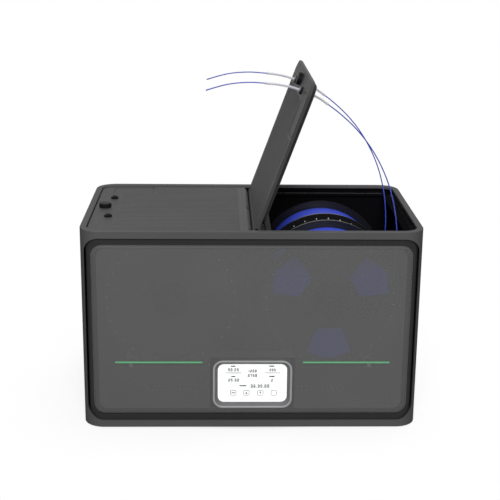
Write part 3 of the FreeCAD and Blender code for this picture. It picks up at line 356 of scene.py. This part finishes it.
ink_pale = moulded("ink_pale", (0.22, 0.22, 0.23), 0.6, Specular_IOR_Level=0.1)
steel = brushed("steel", (0.55, 0.55, 0.57))
fins = moulded("fins", (0.004, 0.004, 0.005), 0.6, Specular_IOR_Level=0.05)
screen_white = glowing("screen_white", (0.88, 0.89, 0.89), 0.43)
light_green = glowing("light_green", (0.09, 0.33, 0.15), 0.22)
screen_glass = moulded("screen_glass", (0.95, 0.95, 0.95), 0.08, change=0.01, grain=200, depth=0.000005,
                       Alpha=0.05)

FINISH = {
    "outer_case": case_plastic, "front_frame": groove_black, "front_window": window_smoke,
    "light_bars": light_green, "screen_bezel": bezel_grey, "screen_glass": screen_glass,
    "screen_panel": screen_white, "display_pod": pod_grey, "control_board": board_green,
    "inner_tub": tub_black, "base_cover": case_plastic, "base_screws": steel, "rubber_feet": rubber_black,
    "centre_divider": tub_black, "hinge_beam": trim_black, "hinge_pins": steel,
    "roller_brackets": tub_black, "roller_axles": steel, "fan_frames": trim_black, "ptc_heaters": fins,
    "power_supply": fins, "humidity_sensor": bezel_grey, "power_inlet": trim_black,
    "power_rocker": trim_black, "left_lid_plugs": rubber_black, "feed_tubes": tube_clear,
    "filament_ends": strand_blue, "filament_leads": strand_blue,
}
for side in SIDES:
    FINISH[f"{side}_lid_cover"] = lid_plastic
    FINISH[f"{side}_lid_liner"] = tub_black
    FINISH[f"{side}_lid_seal"] = rubber_black
    FINISH[f"{side}_lid_fittings"] = trim_black
    FINISH[f"{side}_vent_knob"] = trim_black
    FINISH[f"{side}_fan_impeller"] = trim_black
    for row in ROWS:
        # The blue windings take the brightened copy of the filament's blue: painted light against the shade
        # in the bays.
        winding = filament_blue if side == "right" else filament_dark
        FINISH[f"{side}_{row}_reel"] = reel_plastic
        FINISH[f"{side}_{row}_winding_core"] = winding
        FINISH[f"{side}_{row}_winding_turns"] = winding
        for roller in "ab":
            FINISH[f"{side}_{row}_roller_{roller}"] = roller_grey
for name, node in nodes.items():
    node.data.materials.clear()
    node.data.materials.append(FINISH[name])


def spline(name, points, bevel=0.0, resolution=8):
    """A NURBS curve with those control points, as a mesh: a line, or a tube where it has a bevel."""
    curve = bpy.data.curves.new(name, "CURVE")
    curve.dimensions = "3D"
    curve.resolution_u = resolution
    curve.bevel_depth = bevel
    curve.bevel_resolution = 1
    curve.use_fill_caps = bevel > 0
    line = curve.splines.new("NURBS")
    line.points.add(len(points) - 1)
    for spot, point in zip(line.points, points):
        spot.co = (*point, 1)
    line.order_u = 3
    line.use_endpoint_u = True
    holder = bpy.data.objects.new(name, curve)
    mesh = bpy.data.meshes.new_from_object(holder)
    bpy.data.objects.remove(holder)
    bpy.data.curves.remove(curve)
    return mesh


def tube_rings(path, radius, sides):
    """Rings round a path, carried along it without twist."""
    rings = []
    normal = Vector((0, 1, 0))
    for i, spot in enumerate(path):
        way = (path[min(i + 1, len(path) - 1)] - path[max(i - 1, 0)]).normalized()
        normal = (normal - way * normal.dot(way)).normalized()
        other = way.cross(normal)
        rings.append([spot + (normal * math.cos(a) + other * math.sin(a)) * radius
                      for a in (2 * math.pi * k / sides for k in range(sides))])
    return rings


def strand_path(row):
    """The middle line of a strand, from its winding to its cut end."""
    near, far = STRANDS[row]
    low, high = SPOOL_Z, TUBE_ROUTE[0][1]
    points = [(LEAD_START[0], ROWS[row] + WINDING_END, LEAD_START[1])]
    for x, z in LEAD_ROUTE:
        share = (z - low) / (high - low)
        points.append((x, near + (far - near) * share * share * (3 - 2 * share), z))
    points += [(x, far, z) for x, z in TUBE_ROUTE + END_ROUTE]
    line = spline(f"{row}_line", [millimetres(p) for p in points])
    return [v.co.copy() for v in line.vertices]


def make_strand(row):
    """One filament from its winding up through the lid's fitting, and the tube that guides it there."""
    path = strand_path(row)
    parts = Parts()
    parts.ring_stack(tube_rings(path, FILAMENT / 2 * MM, STRAND_SIDES))
    strand = add_piece(f"{row}_strand", parts, strand_blue, slot="filament_blue", smooth=True)
    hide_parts("filament_leads", "filament_ends")

    first, last = (x * MM for x in TUBE_SPAN[row])
    inside = [p for p in path if last <= p.x <= first]
    outer = tube_rings(inside, TUBE_RADIUS * MM, TUBE_SIDES)
    inner = tube_rings(inside, TUBE_BORE * MM, TUBE_SIDES)
    tube_parts = Parts()
    tube_parts.ring_stack(outer + inner[::-1] + outer[:1], closed=False)
    tube = add_piece(f"{row}_guide_tube", tube_parts, tube_clear, "right_lid", "tube_clear", smooth=True)
    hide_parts("feed_tubes")

    path[0] + millimetres(BEND_START)
    inside[0] + millimetres(BEND_END)
    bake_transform(strand)
    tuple(path[0])


def make_winding(side, row):
    """A full outer layer of turns, wound a little unevenly, over the winding's core."""
    centre = spool_centre(side, row)
    span = -2 * WINDING_END
    steps = WINDING_TURNS * POINTS_PER_TURN
    points = []
    for i in range(steps + 1):
        angle = -2 * math.pi * i / POINTS_PER_TURN
        share = i / steps
        sway = SWAY * math.sin(angle / SWAY_PERIOD) * math.sin(math.pi * share)
        radius = WINDING_RADIUS - SINK + LUMP * math.cos(angle / LUMP_PERIOD)
        spot = Vector((radius * math.cos(angle), WINDING_END + span * share + sway, radius * math.sin(angle)))
        points.append(millimetres(centre + spot))
    mesh = spline(f"{side}_{row}_winding", points, bevel=FILAMENT / 2 * MM, resolution=3)
    piece = add_mesh(f"{side}_{row}_winding", mesh, FINISH[f"{side}_{row}_winding_core"],
                     f"{side}_{row}_spool", WINDING_SLOT[side], smooth=True)
    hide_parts(f"{side}_{row}_winding_turns")


def make_core(side, row):
    """The winding under its outer layer: rows of turns show as ridges through the reel's sight windows."""
    centre = spool_centre(side, row)

    def place(x, y, z):
        return millimetres(centre + Vector((x, z, y)))

    outside = WINDING_RADIUS - FILAMENT / 2
    pitch = (outside - HUB_RADIUS) / CORE_RIDGES
    valley = CORE_HALF - RIDGE_DEPTH
    flank = []
    for i in range(CORE_RIDGES):
        low = HUB_RADIUS + i * pitch
        flank += [(low, valley), (low + RIDGE_SLOPE * pitch, CORE_HALF),
                  (low + (1 - RIDGE_SLOPE) * pitch, CORE_HALF)]
    flank.append((outside, valley))
    parts = Parts()
    parts.turned(place, flank + [(radius, -z) for radius, z in reversed(flank)], CORE_SIDES)
    core = add_piece(f"{side}_{row}_winding_rows", parts, FINISH[f"{side}_{row}_winding_core"],
                     f"{side}_{row}_spool", WINDING_SLOT[side], smooth=True)
    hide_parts(f"{side}_{row}_winding_core")


def make_ticks(side, row):
    """A scale of plain marks printed near the rim, on the outside of each reel's front flange."""
    centre = Vector((SIDES[side] * SPOOL_X, ROWS[row] + FLANGE_OUTSIDE, SPOOL_Z))
    half = TICK_WIDTH / 2
    parts = Parts()
    for i in range(TICK_COUNT):
        turn = Matrix.Rotation(2 * math.pi * (i + TICK_SHIFT) / TICK_COUNT, 4, "Y")

        def place(x, y, z, turn=turn):
            return millimetres(centre + turn @ Vector((y, -z, x)))

        parts.bar(place, (TICK_INNER, -half), (TICK_OUTER, half), -TICK_ROOT, TICK_HEIGHT, TICK_EDGE)
    add_piece(f"{side}_{row}_scale_marks", parts, mark_white, f"{side}_{row}_spool", "bezel_grey")


def make_hinge_cover(side):
    """A rounded cover over the lid's hinge, cut back where the hinge's fixed lugs stand."""
    def arc(last):
        return [math.radians(COVER_START + (last - COVER_START) * k / COVER_STEPS)
                for k in range(COVER_STEPS + 1)]

    def place(radius, angle, y):
        return lid_point(side, radius * math.cos(angle), y, radius * math.sin(angle))

    parts = Parts()
    spans = [(-COVER_HALF, -LUG_NEAR, COVER_AT_LUGS), (-LUG_NEAR, -LUG_HALF, COVER_END[side]),
             (-LUG_HALF, LUG_HALF, COVER_AT_LUGS), (LUG_HALF, LUG_NEAR, COVER_END[side]),
             (LUG_NEAR, COVER_HALF, COVER_AT_LUGS)]
    for first, last, end in spans:
        rings = []
        for y in (first, last):
            toe = [lid_point(side, COVER_TOE_X, y, LID_TOP + rise) for rise in (-TRIM_ROOT, COVER_TOE_HEIGHT)]
            rings.append([place(COVER_OUTER, a, y) for a in arc(end)]
                         + [place(COVER_INNER, a, y) for a in reversed(arc(end))] + toe)
        parts.ring_stack(rings)
    add_piece(f"{side}_hinge_cover", parts, rib_plastic, f"{side}_lid", "case_plastic")


def make_lining():
    """A dark strip along the bays' back and side walls, between their ledge and the rim."""
    def section(x, y, way_x, way_y):
        profile = ((0, LINING_BOTTOM), (0, LINING_TOP), (LINING_THICK, LINING_TOP - LINING_EDGE),
                   (LINING_THICK, LINING_BOTTOM + LINING_EDGE))
        return [millimetres((x + way_x * inset, y + way_y * inset, z)) for inset, z in profile]

    rings = [section(-LINING_X, LINING_FRONT, 1, 0)]
    for side in (-1, 1):
        corner_x, corner_y = side * (LINING_X - LINING_RADIUS), LINING_BACK - LINING_RADIUS
        for k in range(CORNER_STEPS + 1)[::-side]:
            angle = math.radians(90 * k / CORNER_STEPS)
            cos, sin = side * math.cos(angle), math.sin(angle)
            rings.append(section(corner_x + LINING_RADIUS * cos, corner_y + LINING_RADIUS * sin, -cos, -sin))
    rings.append(section(LINING_X, LINING_FRONT, -1, 0))
    parts = Parts()
    parts.ring_stack(rings)
    add_piece("bay_lining", parts, tub_black, "case", "trim_black")


def rounded_outline(half_x, half_y, radius):
    """Points of a rounded rectangle about the origin, anticlockwise."""
    points = []
    for quarter, (sign_x, sign_y) in enumerate(((1, 1), (-1, 1), (-1, -1), (1, -1))):
        for k in range(CORNER_STEPS + 1):
            angle = math.radians(90 * (quarter + k / CORNER_STEPS))
            points.append((sign_x * (half_x - radius) + radius * math.cos(angle),
                           sign_y * (half_y - radius) + radius * math.sin(angle)))
    return points


def make_bezel_rim():
    """A rounded edge round the outside of the display's bezel, coloured as a lighter copy of the bezel's
    grey: a painted highlight.
    """
    rings = []
    for inset, rise in BEZEL_RIM:
        outline = rounded_outline(BEZEL_HALF[0] - inset, BEZEL_HALF[1] - inset, BEZEL_RADIUS - inset)
        rings.append([millimetres((SCREEN_X + x, BEZEL_FRONT - rise, SCREEN_Z + y)) for x, y in outline])
    parts = Parts()
    parts.ring_stack(rings + rings[:1], closed=False)
    add_piece("screen_bezel_rim", parts, bezel_painted_highlight, "case", "bezel_grey", smooth=True)


def make_ribs(side):
    """Fine ribs along a lid's top, shorter beside its plate."""
    ribs = Parts()
    plate_edge = PLATE_Y + PLATE_SIZE[1] / 2 + PLATE_MARGIN
    for i in range(RIB_COUNT):
        y = (i - (RIB_COUNT - 1) / 2) * RIB_PITCH
        far = RIB_FAR_AT_PLATE if y < plate_edge else RIB_FAR
        ribs.bar(partial(lid_point, side), (RIB_NEAR, y - RIB_WIDTH / 2), (far, y + RIB_WIDTH / 2),
                 LID_TOP - TRIM_ROOT, LID_TOP + RIB_HEIGHT, RIB_EDGE)
    add_piece(f"{side}_lid_ribs", ribs, rib_plastic, f"{side}_lid", "case_plastic")


def make_plate(side):
    """A bare plate in the recess of a lid's top."""
    plate = Parts()
    half_x, half_y = PLATE_SIZE[0] / 2, PLATE_SIZE[1] / 2
    plate.bar(partial(lid_point, side), (PLATE_X - half_x, PLATE_Y - half_y),
              (PLATE_X + half_x, PLATE_Y + half_y), LID_TOP - PLATE_SINK - PLATE_ROOT,
              LID_TOP - PLATE_BELOW_TOP, PLATE_EDGE)
    add_piece(f"{side}_lid_plate", plate, plate_grey, f"{side}_lid", "case_plastic")


def make_collets():
    """Collets that hold the tubes in the right lid's fittings."""
    collets = Parts()
    profile = [(radius, FITTING_TOP + rise) for radius, rise in COLLET_PROFILE]
    for y in (-FITTING_Y, FITTING_Y):
        collets.turned(partial(lid_point, "right"), profile, COLLET_SIDES, FITTING_X, y)
    add_piece("right_lid_collets", collets, bezel_grey, "right_lid", "bezel_grey")


def make_grip(side):
    """Small upright grips round the vent's knob."""
    grip = Parts()
    half = GRIP_WIDTH / 2
    for i in range(GRIP_COUNT):
        angle = 2 * math.pi * i / GRIP_COUNT

        def place(x, y, z, cos=math.cos(angle), sin=math.sin(angle)):
            return lid_point(side, KNOB_X + x * cos - y * sin, x * sin + y * cos, z)

        grip.bar(place, (KNOB_RADIUS - GRIP_ROOT, -half), (KNOB_RADIUS + GRIP_REACH, half), GRIP_LOW,
                 GRIP_HIGH, GRIP_EDGE)
    add_piece(f"{side}_vent_grip", grip, trim_black, f"{side}_vent", "trim_black")


def screen_place(x, y, z):
    """A point of the display's face, X to the right and Y up, Z out of it."""
    return millimetres((SCREEN_X + x, SCREEN_FRONT - z, SCREEN_Z + y))


def ink(parts, x0, y0, x1, y1):
    parts.bar(screen_place, (x0, y0), (x1, y1), INK_LOW, INK_HIGH, INK_EDGE)


def digits(parts, text, x, y, high):
    """Plain seven-segment numbers and points, from a lower left corner."""
    wide, thick = high * DIGIT_WIDTH, high * DIGIT_STROKE
    spots = {"a": (0, high - thick, wide, high), "g": (0, (high - thick) / 2, wide, (high + thick) / 2),
             "d": (0, 0, wide, thick), "f": (0, high / 2, thick, high), "e": (0, 0, thick, high / 2),
             "b": (wide - thick, high / 2, wide, high), "c": (wide - thick, 0, wide, high / 2)}
    for letter in text:
        if letter == ".":
            ink(parts, x, y, x + thick, y + thick)
            x += thick * DOT_STEP
            continue
        for segment in SEGMENTS[letter]:
            x0, y0, x1, y1 = spots[segment]
            ink(parts, x + x0, y + y0, x + x1, y + y1)
        x += wide * DIGIT_STEP


def triangle(parts, x, y, half, way):
    """A small solid arrow head, up where way is 1 and down where it is -1."""
    corners = [(x - half, y - half * way), (x + half, y - half * way), (x, y + half * way)]
    parts.ring_stack([[screen_place(*spot, z) for spot in corners[::way]] for z in (INK_LOW, INK_HIGH)])


def make_readout():
    """Numbers, short bars for words, and a dash and two arrow heads on the keys."""
    dark = Parts()
    for text, x, y, high in NUMBERS:
        digits(dark, text, x, y, high)
    for x0, x1, y in BARS:
        ink(dark, x0, y, x1, y + BAR_HEIGHT)
    triangle(dark, KEY_X[1], KEY_Y, KEY_ARROW, 1)
    triangle(dark, KEY_X[2], KEY_Y, KEY_ARROW, -1)
    half_x, half_y = KEY_DASH
    ink(dark, KEY_X[0] - half_x, KEY_Y - half_y, KEY_X[0] + half_x, KEY_Y + half_y)
    add_piece("screen_readout", dark, ink_dark, "case", "trim_black")


def make_keys():
    """Two lines and four key frames."""
    pale = Parts()
    for x0, x1, y in LINES:
        ink(pale, x0, y, x1, y + LINE_HEIGHT)
    sides = ((-KEY_CORNER, KEY_INNER, KEY_CORNER, KEY_OUTER),
             (-KEY_CORNER, -KEY_OUTER, KEY_CORNER, -KEY_INNER),
             (-KEY_OUTER, -KEY_INNER, -KEY_INNER, KEY_INNER),
             (KEY_INNER, -KEY_INNER, KEY_OUTER, KEY_INNER))
    for x in KEY_X:
        for x0, y0, x1, y1 in sides:
            ink(pale, x + x0, KEY_Y + y0, x + x1, KEY_Y + y1)
    add_piece("screen_keys", pale, ink_pale, "case", "bezel_grey")


def seen_directly(tree):
    """1 for a ray from the camera, or by way of metal or glass, and 0 for light that bounces."""
    rays = tree.nodes.new("ShaderNodeLightPath")
    share = rays.outputs["Is Camera Ray"]
    for kind in ("Is Glossy Ray", "Is Transmission Ray"):
        either = tree.nodes.new("ShaderNodeMath")
        either.operation = "MAXIMUM"
        tree.links.new(share, either.inputs[0])
        tree.links.new(rays.outputs[kind], either.inputs[1])
        share = either.outputs["Value"]
    return share


def mixed(tree, share, low, high):
    mix = tree.nodes.new("ShaderNodeMixShader")
    tree.links.new(share, mix.inputs["Fac"])
    tree.links.new(low, mix.inputs[1])
    tree.links.new(high, mix.inputs[2])
    return mix.outputs["Shader"]


def floor_material():
    """White where it is seen, with the object's shadow near it and even white far off; it bounces little."""
    material = bpy.data.materials.new("floor_white")
    material.use_nodes = True
    tree = material.node_tree
    tree.nodes.remove(tree.nodes["Principled BSDF"])
    near = tree.nodes.new("ShaderNodeBsdfDiffuse")
    near.inputs["Color"].default_value = (FLOOR_SEEN, FLOOR_SEEN, FLOOR_SEEN, 1)
    bounce = tree.nodes.new("ShaderNodeBsdfDiffuse")
    bounce.inputs["Color"].default_value = (FLOOR_BOUNCE, FLOOR_BOUNCE, FLOOR_BOUNCE, 1)
    far = tree.nodes.new("ShaderNodeEmission")
    far.inputs["Color"].default_value = (1, 1, 1, 1)

    place = tree.nodes.new("ShaderNodeNewGeometry")
    footprint = tree.nodes.new("ShaderNodeVectorMath")
    footprint.operation = "MULTIPLY"
    footprint.inputs[1].default_value = (1, FLOOR_STRETCH, 1)
    distance = tree.nodes.new("ShaderNodeVectorMath")
    distance.operation = "LENGTH"
    fade = tree.nodes.new("ShaderNodeValToRGB")
    stops = fade.color_ramp.elements
    for position, _ in FLOOR_WHITE[1:-1]:
        stops.new(position)
    for stop, (position, white) in zip(stops, FLOOR_WHITE):
        stop.position = position
        stop.color = (white, white, white, 1)
    tree.links.new(place.outputs["Position"], footprint.inputs[0])
    tree.links.new(footprint.outputs["Vector"], distance.inputs[0])
    tree.links.new(distance.outputs["Value"], fade.inputs["Fac"])

    seen = mixed(tree, fade.outputs["Color"], near.outputs["BSDF"], far.outputs["Emission"])
    whole = mixed(tree, seen_directly(tree), bounce.outputs["BSDF"], seen)
    tree.links.new(whole, tree.nodes["Material Output"].inputs["Surface"])
    return material


def make_floor():
    mesh = bpy.data.meshes.new("floor")
    corners = [(x * FLOOR_REACH, y * FLOOR_REACH, 0) for x, y in ((-1, -1), (1, -1), (1, 1), (-1, 1))]
    mesh.from_pydata(corners, [], [(0, 1, 2, 3)])
    add_mesh("floor", mesh, floor_material())


def make_lamps():
    for name, spot, width, power in LAMPS:
        lamp = bpy.data.lights.new(name, "AREA")
        lamp.size = width
        lamp.energy = power
        light = bpy.data.objects.new(name, lamp)
        light.location = spot
        light.rotation_euler = (Vector(LAMP_TARGET) - Vector(spot)).to_track_quat("-Z", "Y").to_euler()
        bpy.context.collection.objects.link(light)


def make_sky():
    """A weak even light all round that looks plain white."""
    world = bpy.data.worlds.new("studio")
    bpy.context.scene.world = world
    world.use_nodes = True
    tree = world.node_tree
    soft = tree.nodes["Background"]
    plain = tree.nodes.new("ShaderNodeBackground")
    for background, strength in ((soft, SKY_LIGHT), (plain, SKY_SEEN)):
        background.inputs["Color"].default_value = (1, 1, 1, 1)
        background.inputs["Strength"].default_value = strength
    whole = mixed(tree, seen_directly(tree), soft.outputs["Background"], plain.outputs["Background"])
    tree.links.new(whole, tree.nodes["World Output"].inputs["Surface"])


def make_camera():
    yaw, pitch, roll = CAMERA_YAW, CAMERA_PITCH, CAMERA_ROLL
    forward = Vector((math.sin(yaw) * math.cos(pitch), math.cos(yaw) * math.cos(pitch), -math.sin(pitch)))
    level = Vector((math.cos(yaw), -math.sin(yaw), 0))
    upward = level.cross(forward)
    right = level * math.cos(roll) + upward * math.sin(roll)
    up = upward * math.cos(roll) - level * math.sin(roll)
    lens = bpy.data.cameras.new("camera")
    lens.lens = CAMERA_LENS
    lens.sensor_width = CAMERA_SENSOR
    lens.clip_start, lens.clip_end = CAMERA_CLIP
    camera = bpy.data.objects.new("camera", lens)
    bpy.context.collection.objects.link(camera)
    turn = Matrix((right, up, -forward)).transposed().to_4x4()
    camera.matrix_world = Matrix.Translation(millimetres(CAMERA_SPOT)) @ turn
    bpy.context.scene.camera = camera


bpy.context.scene.view_settings.view_transform = "Standard"
make_camera()
make_floor()
make_lamps()
make_sky()
for row in ROWS:
    make_strand(row)
for side in SIDES:
    make_ribs(side)
    make_plate(side)
    if side == "right":
        make_collets()
    make_grip(side)
    make_hinge_cover(side)
    for row in ROWS:
        make_core(side, row)
        make_winding(side, row)
        make_ticks(side, row)
make_lining()
make_bezel_rim()
make_readout()
make_keys()
